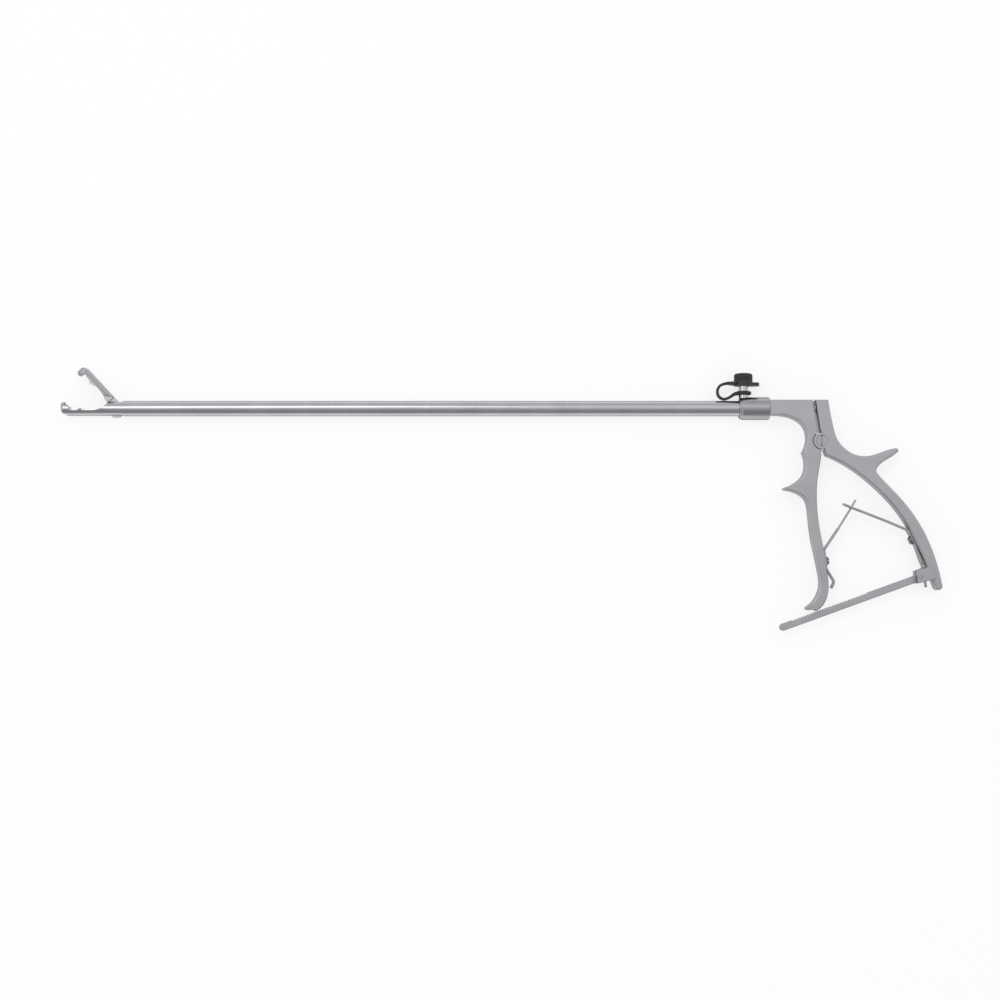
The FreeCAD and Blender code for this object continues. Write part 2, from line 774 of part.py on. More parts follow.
def lever_outline():
    """The lever's edge, from its top at the gap down to its lower end and up the back."""
    hinge = hinge_side(1, LEVER_RECESS_END)
    return [
        *hinge,
        [hinge[-1][-1], (44.7, -24.7)],
        [
            (44.7, -24.7), (56.3, -30.6), (67.3, -38.9), (75.9, -47.2), (82.6, -55.4), REAR_SEAT[0]
        ],
        REAR_SEAT,
        [REAR_SEAT[1], (93.6, -76.5), (96.4, -83.0), (98.6, -89.0), (99.9, -92.4)],
        [(99.9, -92.4), (102.4, -94.2), (103.8, -91.6)],
        [
            (103.8, -91.6), (101.2, -80.6), (96.9, -68.6), (91.4, -58.2), (85.2, -49.6), (77.8, -41.4),
            (71.7, -34.9), (70.4, -32.4), (71.4, -30.3), (76.2, -26.6), (81.0, -23.3),
        ],
        [(81.0, -23.3), (81.9, -21.7), (80.6, -20.9)],
        [
            (80.6, -20.9), (73.6, -22.8), (66.5, -24.9), (60.4, -24.5), (54.6, -21.3), (50.3, -16.0),
            (48.2, -9.0), (46.8, -2.0), (46.0, S.arm_top - 0.9),
        ],
        [(46.0, S.arm_top - 0.9), (45.8, S.arm_top - 0.2), (45.1, S.arm_top)],
        [(45.1, S.arm_top), gap_edge(S.arm_top, 1)],
    ]


def seat_frame(seat, share, outward):
    """The place and direction of a screw on a flat seat, at a share of its length."""
    (x1, y1), (x2, y2) = seat
    length = math.hypot(x2 - x1, y2 - y1)
    place = Vector(x1 + share * (x2 - x1), y1 + share * (y2 - y1), 0)
    normal = Vector(y1 - y2, x2 - x1, 0) * (outward / length)
    return place, normal


def leaf_screw_hole(name, place, normal, radius):
    start = place - normal * (S.leaf_screw_length + S.slide_gap)
    return cylinder(name, radius, "leaf_screw_length + 3", tuple(start), normal)


front_place, front_normal = seat_frame(FRONT_SEAT, 0.58, 1)
rear_place, rear_normal = seat_frame(REAR_SEAT, 0.6, -1)


def make_front_handle():
    body = fuse(
        "FrontHandleBody",
        prism("FrontHandlePlate", front_outline(), f"-({HALF})", HALF),
        *disc_and_web("FrontHandle", -1, FRONT_RECESS_END, f"-({HALF})", "-run_gap / 2"),
        cylinder(
            "FrontSpigot", "handle_spigot_radius", f"collar_length - ({GLAND_END}) - fit_gap",
            (f"{GLAND_END} + fit_gap", 0, 0), X,
        ),
    )
    return cut(
        "FrontHandleCut",
        body,
        cylinder("FrontRodBore", "rod_radius + slide_gap", "50", ("0", 0, 0), X),
        cylinder(
            "FrontScrewHole", "screw_shank_radius + fit_gap", "2 * handle_thickness",
            ("handle_pivot_x", "-handle_pivot_drop", "-handle_thickness"),
        ),
        leaf_screw_hole("FrontLeafHole", front_place, front_normal, "leaf_screw_radius + fit_gap"),
    )


node(make_front_handle(), "front_handle")

block_points = [(90.7, -84.3), (97.6, -81.9), (100.4, -88.4), (90.7, -90.9)]


def make_lever():
    body = fuse(
        "LeverBody",
        prism("LeverPlate", lever_outline(), f"-({HALF})", HALF),
        *disc_and_web("Lever", 1, LEVER_RECESS_END, "run_gap / 2", HALF),
        prism("LeverBlock", polygon(block_points), "-block_thickness / 2", "block_thickness / 2"),
    )
    slot_left = gap_edge(0, 1)[0] + S.slot_wall
    return cut(
        "LeverCut",
        body,
        box(
            "LeverBallSlot",
            (slot_left, "-slot_depth", "-slot_width / 2"),
            (slot_left + S.slot_width, "arm_top + 1", "slot_width / 2"),
        ),
        box(
            "LeverNeckSlot",
            (slot_left - 4, "-slot_depth", "-neck_slot / 2"),
            (slot_left + 1, "arm_top + 1", "neck_slot / 2"),
        ),
        box("LeverBarSlot", (90, -92, "-bar_slot / 2"), (96.3, -80, "bar_slot / 2")),
        cylinder(
            "LeverBarPinHole", "bar_pin_radius + run_gap", "block_thickness + 2",
            ("bar_pivot_x", "-bar_pivot_drop", "-block_thickness / 2 - 1"),
        ),
        cylinder(
            "LeverScrewHole", "screw_shank_radius + run_gap", "2 * handle_thickness",
            ("handle_pivot_x", "-handle_pivot_drop", "-handle_thickness"),
        ),
        cylinder(
            "LeverScrewSeat", "screw_head_radius + run_gap", "handle_thickness",
            ("handle_pivot_x", "-handle_pivot_drop", f"{HALF} - screw_head_height"),
        ),
        leaf_screw_hole("LeverLeafHole", rear_place, rear_normal, "leaf_screw_radius + fit_gap"),
    )


node(make_lever(), "thumb_lever")

# Pivot screw of the handles
screw = cut(
    "PivotScrewCut",
    fuse(
        "PivotScrewBody",
        cylinder(
            "PivotScrewShank", "screw_shank_radius", f"2 * ({HALF}) - 1",
            ("handle_pivot_x", "-handle_pivot_drop", f"-({HALF})"),
        ),
        cylinder(
            "PivotScrewHead", "screw_head_radius", "screw_head_height - run_gap",
            ("handle_pivot_x", "-handle_pivot_drop", f"{HALF} - screw_head_height + run_gap"),
        ),
    ),
    box(
        "PivotScrewSlot",
        (
            "handle_pivot_x - screw_slot_width / 2",
            "-handle_pivot_drop - screw_head_radius - 1",
            f"{HALF} - screw_slot_depth",
        ),
        (
            "handle_pivot_x + screw_slot_width / 2",
            "-handle_pivot_drop + screw_head_radius + 1",
            f"{HALF} + 1",
        ),
    ),
)
node(screw, "handle_screw")


def shifted(point, normal, distance):
    return (point[0] + normal.x * distance, point[1] + normal.y * distance)


CROSSING = (57.9, -51.5)


def make_front_leaf():
    """Leaf on the front grip, whose upper part is a tongue that passes through the rear leaf."""
    lift = S.leaf_thickness / 2 + S.fit_gap
    upper = shifted(FRONT_SEAT[0], front_normal, lift)
    lower = shifted(FRONT_SEAT[1], front_normal, lift)
    path = [(46.9, -93.3), (48.6, -90.0), lower, upper, (51.6, -61.4), CROSSING, (60.1, -47.6)]
    bends = [2.5, 5.0, 3.0, 40.0, 30.0]
    outline = bent_strip(path, bends, S.leaf_thickness)
    leaf = prism("FrontLeafBand", outline, "-leaf_width / 2", "leaf_width / 2")
    side_cuts = [
        box(
            f"FrontLeafTrim{side}",
            (50, -62, "tongue_width / 2" if side > 0 else "-leaf_width"),
            (66, -40, "leaf_width" if side > 0 else "-tongue_width / 2"),
        )
        for side in (1, -1)
    ]
    hole = leaf_screw_hole("FrontLeafScrewHole", front_place, front_normal, "leaf_screw_radius + fit_gap")
    return cut("FrontLeafCut", leaf, *side_cuts, hole)


def make_rear_leaf():
    """Leaf on the lever, with a window for the front leaf and a tail behind the bar's heel."""
    lift = S.leaf_thickness / 2 + S.fit_gap
    upper = shifted(REAR_SEAT[0], rear_normal, lift)
    lower = shifted(REAR_SEAT[1], rear_normal, lift)
    path = [(96.0, -92.8), (94.3, -82.0), lower, upper, (76.0, -58.6), CROSSING, (53.6, -49.7)]
    bends = [30.0, 12.0, 3.0, 60.0, 40.0]
    outline = bent_strip(path, bends, S.leaf_thickness)
    leaf = prism("RearLeafBand", outline, "-leaf_width / 2", "leaf_width / 2")
    window = box(
        "RearLeafWindow",
        (54.8, -60, "-tongue_width / 2 - soft_gap"),
        (63.0, -40, "tongue_width / 2 + soft_gap"),
    )
    side_cuts = [
        box(
            f"RearLeafTrim{side}",
            (90, -95, "bar_slot / 2 - soft_gap" if side > 0 else "-leaf_width"),
            (98, -80.5, "leaf_width" if side > 0 else "-bar_slot / 2 + soft_gap"),
        )
        for side in (1, -1)
    ]
    hole = leaf_screw_hole("RearLeafScrewHole", rear_place, rear_normal, "leaf_screw_radius + fit_gap")
    return cut("RearLeafCut", leaf, window, *side_cuts, hole)


def make_leaf_screw(name, place, normal):
    """Round head screw that clamps a leaf to its seat."""
    base = S.leaf_thickness + 2 * S.fit_gap
    high = base + S.leaf_screw_head_height
    profile = [
        [(-S.leaf_screw_length, 0), (-S.leaf_screw_length, S.leaf_screw_radius)],
        [(-S.leaf_screw_length, S.leaf_screw_radius), (base, S.leaf_screw_radius)],
        [(base, S.leaf_screw_radius), (base, S.leaf_screw_head_radius)],
        [(base, S.leaf_screw_head_radius), (high - 0.45, S.leaf_screw_head_radius * 0.78), (high, 0)],
        [(high, 0), (-S.leaf_screw_length, 0)],
    ]
    blank = turned(name + "Blank", profile)
    slot = box(
        name + "Slot",
        (high - 0.6, "-screw_slot_width / 2", "-leaf_screw_head_radius"),
        (high + 1, "screw_slot_width / 2", "leaf_screw_head_radius"),
    )
    thing = cut(name, blank, slot)
    thing.Placement = Placement(place, Rotation(X, normal))
    return thing


node(make_front_leaf(), "front_leaf_spring")
node(make_leaf_screw("FrontLeafScrew", front_place, front_normal), "front_spring_screw")
node(make_rear_leaf(), "rear_leaf_spring")
node(make_leaf_screw("RearLeafScrew", rear_place, rear_normal), "rear_spring_screw")


def make_bar():
    """Ratchet bar, drawn from its pin along its length, with saw teeth on its upper edge."""
    reach, high = S.bar_length, S.bar_height / 2
    heel = arc_points((0, 0), high, -90, 90)
    first = reach - S.tooth_start
    upper = [(high * math.cos(math.radians(90)), high)]
    for number in range(S.tooth_count):
        near = -first + (S.tooth_count - number) * S.tooth_pitch
        upper += [(near, high), (near - S.tooth_pitch * 0.75, high - S.tooth_depth)]
    upper += [(-first, high), (-reach + high, high)]
    outline = [heel] + [list(side) for side in zip(upper, upper[1:])]
    outline += [
        arc_points((-reach + high, 0), high, 90, 270),
        [(-reach + high, -high), (0, -high)],
    ]
    bar = cut(
        "BarCut",
        prism("BarBlank", outline, "-bar_thickness / 2", "bar_thickness / 2"),
        cylinder("BarPinHole", "bar_pin_radius + run_gap", "2 * bar_thickness", (0, 0, "-bar_thickness")),
    )
    bar.Placement = Placement(Vector(), Rotation(Z, S.bar_angle))
    return bind_place(bar, ("bar_pivot_x", "-bar_pivot_drop", 0))


node(make_bar(), "ratchet_bar")
node(
    cylinder(
        "BarPin", "bar_pin_radius", "block_thickness",
        ("bar_pivot_x", "-bar_pivot_drop", "-block_thickness / 2"),
    ),
    "ratchet_pin",
)

doc.recompute()
for thing in doc.Objects:
    if {"Invalid", "Error"} & set(thing.State):
        raise RuntimeError(f"{thing.Name} failed: {thing.State}")
os.makedirs("parts", exist_ok=True)
for name, thing in nodes.items():
    if thing.Shape.isNull() or not thing.Shape.isValid():
        raise RuntimeError(f"{name} has no valid shape")
    print(f"{name}: {len(thing.Shape.Solids)} solid, {thing.Shape.Volume:.1f} mm3")
    thing.Shape.exportStep(f"parts/{name}.step")
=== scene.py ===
"""Looks of the grasping forceps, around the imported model. All lengths are in metres."""
import json
import math

import bmesh
import bpy
from mathutils import Matrix, Vector


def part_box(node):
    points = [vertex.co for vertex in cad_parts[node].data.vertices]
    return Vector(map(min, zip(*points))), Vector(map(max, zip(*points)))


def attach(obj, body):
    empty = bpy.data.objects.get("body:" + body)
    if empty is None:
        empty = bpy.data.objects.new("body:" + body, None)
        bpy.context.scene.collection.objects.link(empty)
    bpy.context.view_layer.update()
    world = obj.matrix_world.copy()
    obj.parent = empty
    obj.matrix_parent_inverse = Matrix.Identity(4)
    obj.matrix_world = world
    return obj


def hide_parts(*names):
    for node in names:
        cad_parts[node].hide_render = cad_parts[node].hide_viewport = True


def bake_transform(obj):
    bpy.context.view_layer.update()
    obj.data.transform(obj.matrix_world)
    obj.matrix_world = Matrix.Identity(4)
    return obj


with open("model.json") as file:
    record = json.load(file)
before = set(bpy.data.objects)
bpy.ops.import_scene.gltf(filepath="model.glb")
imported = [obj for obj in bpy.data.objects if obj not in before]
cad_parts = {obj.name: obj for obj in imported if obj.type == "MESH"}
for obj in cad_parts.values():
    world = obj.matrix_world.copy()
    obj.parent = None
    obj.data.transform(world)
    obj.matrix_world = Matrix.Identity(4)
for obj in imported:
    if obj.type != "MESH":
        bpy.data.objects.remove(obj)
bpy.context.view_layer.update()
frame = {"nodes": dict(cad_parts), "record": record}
nodes = frame["nodes"]
scene = bpy.context.scene
MM = 0.001

# The photograph's frame, read off at the height of the shaft's axis
IMAGE_SIZE = 1000
METRES_PER_PIXEL = 0.52 * MM
ORIGIN_PIXEL = (739.0, 408.6)
VIEW_ELEVATION = math.radians(87)
SENSOR_WIDTH = 36.0
LENS = 66.5

# Levels of the studio, where 1 is white
SKY_FILL = 0.7
FLOOR_ALBEDO = 0.35
FLOOR_GLOW = 0.76
FLOOR_SIZE = 12
HORIZON_RISE = (0.06, 0.16)
CEILING_BLUE = 1.03
# The ceiling's levels across it, from the handles' lower end to the shaft's side
CEILING_LEVELS = (
    (0.0, 0.4), (0.1, 0.31), (0.27, 0.36), (0.42, 0.58), (0.55, 0.7), (0.85, 0.7), (1.0, 0.58),
)
# The lamps' place, target, size and power
SOFTBOXES = {
    "shaft_softbox": ((-0.46, 0.29, 0.95), (-0.25, 0, 0), (0.75, 0.42), 1.15),
    "handle_softbox": ((0.5, 0.4, 1.1), (0.05, -0.05, 0), (0.8, 0.8), 0.6),
}

# The part of a noise's range that finishes spread their values over
NOISE_RANGE = (0.3, 0.7)
STEEL_CLOUD_SCALE = 90.0
RUBBER_CLOUD_SCALE = 350.0
RUBBER_SKIN_SCALE = 4000.0
CLOUD_DETAIL = 4.0
GRAIN_DETAIL = 2.0
EDGE_SAMPLES = 6
EVEN_GRAIN = (1, 1, 1)
LENGTHWISE_GRAIN = (0.05, 1, 1)

# Points and rounding of the handles
PIVOT = (42.3 * MM, -17.1 * MM, 0)
BAR_PIN = (92.4 * MM, -87.86 * MM, 0)
TOOTH = (36.5 * MM, -104.5 * MM, 0)
ARM_END = (16.0 * MM, 0, 0)
RIM_ROUNDING = 0.7 * MM
RIM_SEGMENTS = 3
# Places that stay sharp, each with its radius
GRIP_SHARP = [(PIVOT, 7.5 * MM), (TOOTH, 3.2 * MM), (ARM_END, 5.0 * MM)]
LEVER_SHARP = [(PIVOT, 7.5 * MM), (BAR_PIN, 2.0 * MM)]
# How far a face's normal points out of the flat side, for flat sides and for the walls round them
FLAT_NORMAL = 0.99
SHADED_FLAT_NORMAL = 0.998
WALL_NORMAL = 0.2
LEVEL_TOLERANCE = 0.05 * MM
RIM_TOLERANCE = 0.1 * MM
WELD_DISTANCE = 0.001 * MM
WELD_ANGLE = math.radians(1)
ROUND_ANGLE = math.radians(32)

# Edges of the leaves and the bar, and the places where the leaves bend and cross
THIN_EDGE = 0.12 * MM
THIN_EDGE_SEGMENTS = 2
THIN_EDGE_ANGLE = math.radians(40)
LEAF_SHARP_ANGLE = math.radians(35)
LEAF_SLICES = 24
CROSSING = (57.9 * MM, -51.5 * MM, 0)
FRONT_BEND = (43.4 * MM, -73.5 * MM, 0)
REAR_BEND = (86.8 * MM, -63.2 * MM, 0)

# The ratchet bar in millimetres, drawn from its pin along its length
BAR_ANGLE = math.radians(19.92)
BAR_LENGTH = 76.8
BAR_HALF_HEIGHT = 1.85
BAR_PIN_HOLE = 0.87
BAR_DRILL_LENGTH = 20
TOOTH_PITCH = 1.43
TOOTH_SLOPE_SHARE = 0.7
TOOTH_DEPTH = 1.1
TOOTH_COUNT = 29
FIRST_TOOTH = 28.0
HALF_TURN = [math.pi * step / 12 for step in range(13)]

# The strap's route from the ring round to the cap: place, thickness and width in millimetres
STRAP_ROUTE = [
    (-0.9, 7.9, 1.9, 6.0), (-2.6, 7.4, 1.8, 5.2), (-5.2, 5.7, 1.45, 4.0), (-8.0, 4.9, 1.4, 3.8),
    (-10.5, 6.3, 1.4, 3.8), (-11.2, 9.2, 1.4, 3.8), (-9.8, 11.9, 1.4, 3.8), (-6.6, 13.1, 1.5, 4.4),
    (-4.0, 13.1, 1.9, 6.2), (-2.0, 13.0, 2.2, 7.4),
]
STRAP_STEPS = 8
STRAP_CORNERS = 20
STRAP_ROUNDNESS = 0.6


def node_adder(tree):
    """A function that adds nodes to a tree, with their settings, and inputs set or linked."""
    def add(kind, inputs=None, **settings):
        node = tree.nodes.new(kind)
        for field, setting in settings.items():
            setattr(node, field, setting)
        for socket, source in (inputs or {}).items():
            if isinstance(source, bpy.types.NodeSocket):
                tree.links.new(source, node.inputs[socket])
            else:
                node.inputs[socket].default_value = source
        return node

    return add


def new_material(name):
    """A material with an empty tree, and a function that adds nodes to it."""
    material = bpy.data.materials.new(name)
    material.use_nodes = True
    material.node_tree.nodes.clear()
    return material, node_adder(material.node_tree)


def mapped_noise(add, stretch, scale, detail):
    """Noise in the object's own space, stretched along its axes."""
    place = add("ShaderNodeTexCoord").outputs["Object"]
    mapping = add("ShaderNodeMapping", {"Vector": place, "Scale": stretch})
    noise_inputs = {"Vector": mapping.outputs["Vector"], "Scale": scale, "Detail": detail}
    return add("ShaderNodeTexNoise", noise_inputs).outputs["Fac"]


def spread(add, noise, low, high):
    """A noise, spread over a wanted range."""
    ranged = add("ShaderNodeMapRange", {
        "Value": noise, "From Min": NOISE_RANGE[0], "From Max": NOISE_RANGE[1], "To Min": low, "To Max": high,
    })
    return ranged.outputs["Result"]


def tinted(add, noise, dark, light):
    """A noise, spread over the colours between a dark and a light one."""
    ramp = add("ShaderNodeValToRGB", {"Fac": noise})
    for point, position, color in zip(ramp.color_ramp.elements, NOISE_RANGE, (dark, light)):
        point.position = position
        point.color = (*color, 1)
    return ramp.outputs["Color"]


def softened_edges(add, radius):
    return add("ShaderNodeBevel", {"Radius": radius}, samples=EDGE_SAMPLES).outputs["Normal"]


def finish_surface(add, color, roughness, normal, **fixed):
    shader = add(
        "ShaderNodeBsdfPrincipled",
        {"Base Color": color, "Roughness": roughness, "Normal": normal, **fixed},
    )
    add("ShaderNodeOutputMaterial", {"Surface": shader.outputs["BSDF"]})


def steel(name, dark, light, rough, grain_scale, grain_depth, grain=EVEN_GRAIN, edge_radius=0, painted_edge_shade=0.6):
    """Steel with a fine grain, cloudy roughness and, where a radius is given, softened edges; its glancing
    reflections are darkened as painted shade.
    """
    material, add = new_material(name)
    clouds = mapped_noise(add, (1, 1, 1), STEEL_CLOUD_SCALE, CLOUD_DETAIL)
    height = mapped_noise(add, grain, grain_scale, GRAIN_DETAIL)
    bump_inputs = {"Height": height, "Strength": 0.35, "Distance": grain_depth}
    if edge_radius:
        bump_inputs["Normal"] = softened_edges(add, edge_radius)
    bump = add("ShaderNodeBump", bump_inputs)
    color = tinted(add, clouds, dark, light)
    # The specular tint is painted shade: it darkens glancing reflections, standing in for the shadowed floor beside
    # the piece.
    fixed = {"Metallic": 1.0, "Specular Tint": (painted_edge_shade, painted_edge_shade, painted_edge_shade, 1)}
    finish_surface(add, color, spread(add, clouds, *rough), bump.outputs["Normal"], **fixed)
    return material


def rubber(name, dark, light):
    """Matt moulded rubber with a fine skin and a little dust."""
    material, add = new_material(name)
    clouds = mapped_noise(add, (1, 1, 1), RUBBER_CLOUD_SCALE, CLOUD_DETAIL)
    skin = mapped_noise(add, (1, 1, 1), RUBBER_SKIN_SCALE, GRAIN_DETAIL)
    edges = softened_edges(add, 0.2 * MM)
    bump = add("ShaderNodeBump", {"Height": skin, "Strength": 0.3, "Distance": 0.05 * MM, "Normal": edges})
    color = tinted(add, clouds, dark, light)
    finish_surface(add, color, spread(add, clouds, 0.42, 0.6), bump.outputs["Normal"])
    return material


SATIN = steel(
    "satin_steel_finish", (0.47, 0.47, 0.49), (0.53, 0.53, 0.55), rough=(0.36, 0.44),
    grain_scale=3500.0, grain_depth=0.03 * MM, edge_radius=0.6 * MM,
)
# Polished steel gets a deeper painted shade on its glancing reflections.
POLISHED = steel(
    "polished_steel_finish", (0.55, 0.55, 0.57), (0.61, 0.61, 0.63), rough=(0.17, 0.22),
    grain_scale=2500.0, grain_depth=0.003 * MM, grain=LENGTHWISE_GRAIN, painted_edge_shade=0.35,
)
SPRING = steel(
    "spring_steel_finish", (0.42, 0.42, 0.43), (0.5, 0.5, 0.51), rough=(0.26, 0.34),
    grain_scale=2500.0, grain_depth=0.006 * MM, grain=(1, 1, 0.1), edge_radius=0.08 * MM,
)
SCREW = steel(
    "screw_steel_finish", (0.55, 0.55, 0.57), (0.62, 0.62, 0.64), rough=(0.22, 0.3),
    grain_scale=3000.0, grain_depth=0.006 * MM, edge_radius=0.12 * MM,
)
JAW = steel(
    "jaw_steel_finish", (0.42, 0.42, 0.44), (0.5, 0.5, 0.52), rough=(0.34, 0.42),
    grain_scale=3000.0, grain_depth=0.008 * MM, edge_radius=0.15 * MM,
)
DARK_SCREW = steel(
    "dark_screw_finish", (0.2, 0.2, 0.21), (0.3, 0.3, 0.31), rough=(0.28, 0.36),
    grain_scale=3000.0, grain_depth=0.006 * MM, edge_radius=0.12 * MM,
)
# The collar gets the same deeper painted shade on its glancing reflections.
COLLAR = steel(
    "collar_steel_finish", (0.42, 0.43, 0.45), (0.48, 0.49, 0.51), rough=(0.24, 0.3),
    grain_scale=2500.0, grain_depth=0.002 * MM, grain=LENGTHWISE_GRAIN, painted_edge_shade=0.35,
)
BLACK_RUBBER = rubber("black_rubber_finish", (0.028, 0.028, 0.032), (0.05, 0.05, 0.056))
SEAL_RUBBER = rubber("seal_rubber_finish", (0.2, 0.08, 0.06), (0.28, 0.12, 0.09))
FINISHES = {
    "satin_steel": SATIN,
    "polished_steel": POLISHED,
    "spring_steel": SPRING,
    "screw_steel": SCREW,
    "black_rubber": BLACK_RUBBER,
    "seal_rubber": SEAL_RUBBER,
}
# Pieces whose finish differs from the rest of their slot
OWN_FINISHES = {
    "collar": COLLAR,
    "upper_jaw": JAW,
    "crank_pin": JAW,
    "front_spring_screw": DARK_SCREW,
    "rear_spring_screw": DARK_SCREW,
    "handle_screw": SATIN,
    "ratchet_pin": SATIN,
}


def dress(piece, material):
    piece.data.materials.clear()
    piece.data.materials.append(material)


def dress_nodes():
    """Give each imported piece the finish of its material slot, or its own."""
    for entry in frame["record"]["subparts"]:
        node = entry["node"]
        dress(nodes[node], OWN_FINISHES.get(node, FINISHES[entry["material_slot"]]))


def new_piece(name, mesh):
    piece = bpy.data.objects.new(name, mesh)
    scene.collection.objects.link(piece)
    return piece


def fill_mesh(mesh, form):
    """Write a form into a mesh and let the form go."""
    form.to_mesh(mesh)
    form.free()


def welded(mesh):
    """The piece's mesh as one welded form, with its flat faces whole."""
    form = bmesh.new()
    form.from_mesh(mesh)
    bmesh.ops.remove_doubles(form, verts=form.verts, dist=WELD_DISTANCE)
    bmesh.ops.dissolve_limit(form, angle_limit=WELD_ANGLE, verts=form.verts, edges=form.edges)
    return form


def add_edge_rounding(piece):
    """A modifier that rounds the thin edges of a leaf or of the bar."""
    bevel = piece.modifiers.new("edges", "BEVEL")
    bevel.width = THIN_EDGE
    bevel.segments = THIN_EDGE_SEGMENTS
    bevel.limit_method = "ANGLE"
    bevel.angle_limit = THIN_EDGE_ANGLE


def apply_modifiers(piece):
    """Give a piece the mesh that its modifiers make."""
    mesh = bpy.data.meshes.new_from_object(piece.evaluated_get(bpy.context.evaluated_depsgraph_get()))
    piece.modifiers.clear()
    piece.data = mesh
    return mesh


def smooth_round_flats(form):
    """Smooth shading over the rounded edges, with the flat sides left flat."""
    for edge in form.edges:
        flats = [abs(face.normal.z) > SHADED_FLAT_NORMAL for face in edge.link_faces]
        edge.smooth = len(flats) == 2 and flats[0] == flats[1] and edge.calc_face_angle() < ROUND_ANGLE
    for face in form.faces:
        face.smooth = True


def main_level(form):
    """How far the largest flat sides lie from the middle plane."""
    sides = [
        (abs(face.calc_center_median().z), face.calc_area())
        for face in form.faces if abs(face.normal.z) > FLAT_NORMAL
    ]
    levels = {round(height, 6) for height, _ in sides}
    return max(levels, key=lambda level: sum(
        area for height, area in sides if abs(height - level) < LEVEL_TOLERANCE
    ))


def is_rim(edge, level, stays_sharp):
    """Whether an edge runs round a main flat side, away from the places that stay sharp."""
    if len(edge.link_faces) != 2 or not edge.is_convex:
        return False
    tilts = [abs(face.normal.z) for face in edge.link_faces]
    if max(tilts) < FLAT_NORMAL or min(tilts) > WALL_NORMAL:
        return False
    middle = (edge.verts[0].co + edge.verts[1].co) / 2
    if abs(abs(middle.z) - level) > RIM_TOLERANCE:
        return False
    return all((middle - Vector(place)).xy.length > radius for place, radius in stays_sharp)


def rounded_copy(name, node, stays_sharp):
    """A copy of a flat piece whose rims are rounded over, except at the places named."""
    mesh = nodes[node].data.copy()
    piece = new_piece(name, mesh)
    form = welded(mesh)
    level = main_level(form)
    rims = [edge for edge in form.edges if is_rim(edge, level, stays_sharp)]
    bmesh.ops.bevel(
        form, geom=rims, offset=RIM_ROUNDING, offset_type="OFFSET", segments=RIM_SEGMENTS, profile=0.5,
        affect="EDGES", clamp_overlap=False, loop_slide=True,
    )
    bmesh.ops.triangulate(form, faces=[face for face in form.faces if len(face.verts) > 4])
    smooth_round_flats(form)
    fill_mesh(mesh, form)
    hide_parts(node)
    return piece


def make_handle(name, node, body, stays_sharp):
    handle = rounded_copy(name, node, stays_sharp)
    dress(handle, SATIN)
    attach(handle, body)


def flexible_copy(name, node, start, end):
    """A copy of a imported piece, cut into slices from one point to another so that it can bend."""
    mesh = nodes[node].data.copy()
    piece = new_piece(name, mesh)
    form = welded(mesh)
    start, end = Vector(start), Vector(end)
    for number in range(LEAF_SLICES + 1):
        everything = form.verts[:] + form.edges[:] + form.faces[:]
        place = start.lerp(end, number / LEAF_SLICES)
        bmesh.ops.bisect_plane(form, geom=everything, plane_co=place, plane_no=end - start, dist=WELD_DISTANCE)
    fill_mesh(mesh, form)
    mesh.shade_flat()
    add_edge_rounding(piece)
    rounded = apply_modifiers(piece)
    rounded.shade_smooth()
    rounded.set_sharp_from_angle(angle=LEAF_SHARP_ANGLE)
    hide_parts(node)
    return piece


def make_leaf(name, node, seat, crossing):
    """A leaf spring that bends half way to the other leaf where the two cross."""
    leaf = flexible_copy(name, node, seat, crossing)
    dress(leaf, SPRING)
    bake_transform(leaf)
    return leaf


def smooth_line(points, steps):
    """Points along a smooth line through the points given."""
    padded = [2 * points[0] - points[1], *points, 2 * points[-1] - points[-2]]
    line = []
    for number in range(len(points) - 1):
        before, start, end, after = padded[number:number + 4]
        for step in range(steps):
            t = step / steps
            line.append(0.5 * (
                2 * start + (end - before) * t + (2 * before - 5 * start + 4 * end - after) * t ** 2
                + (3 * start - before - 3 * end + after) * t ** 3
            ))
    return [*line, points[-1]]


def bulged(share):
    """A cosine or sine, changed so that a circle becomes a rounded rectangle."""
    return math.copysign(abs(share) ** STRAP_ROUNDNESS, share)


def band(name, route):
    """A moulded band along a flat route, whose points also give its thickness and its width."""
    line = smooth_line([Vector(point) for point in route], STRAP_STEPS)
    form = bmesh.new()
    rings = []
    for number, (x, y, thick, wide) in enumerate(line):
        before, after = line[max(number - 1, 0)], line[min(number + 1, len(line) - 1)]
        along = Vector((after[0] - before[0], after[1] - before[1], 0)).normalized()
        side = Vector((-along.y, along.x, 0))
        ring = []
        for corner in range(STRAP_CORNERS):
            angle = 2 * math.pi * corner / STRAP_CORNERS
            across = bulged(math.cos(angle)) * thick / 2
            out = bulged(math.sin(angle)) * wide / 2
            ring.append(form.verts.new((Vector((x, y, 0)) + side * across + Vector((0, 0, out))) * MM))
        rings.append(ring)
    for first, second in zip(rings, rings[1:]):
        for corner in range(STRAP_CORNERS):
            following = (corner + 1) % STRAP_CORNERS
            form.faces.new((first[corner], first[following], second[following], second[corner]))
    form.faces.new(rings[0][::-1])
    form.faces.new(rings[-1])
    bmesh.ops.recalc_face_normals(form, faces=form.faces)
    mesh = bpy.data.meshes.new(name)
    fill_mesh(mesh, form)
    mesh.shade_smooth()
    return new_piece(name, mesh)


def make_strap():
    """The rubber strap, moulded onto the ring and the cap, and bending between them."""
    strap = band("rubber_strap", STRAP_ROUTE)
    dress(strap, BLACK_RUBBER)
    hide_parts("cap_strap")
    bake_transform(strap)
    return strap


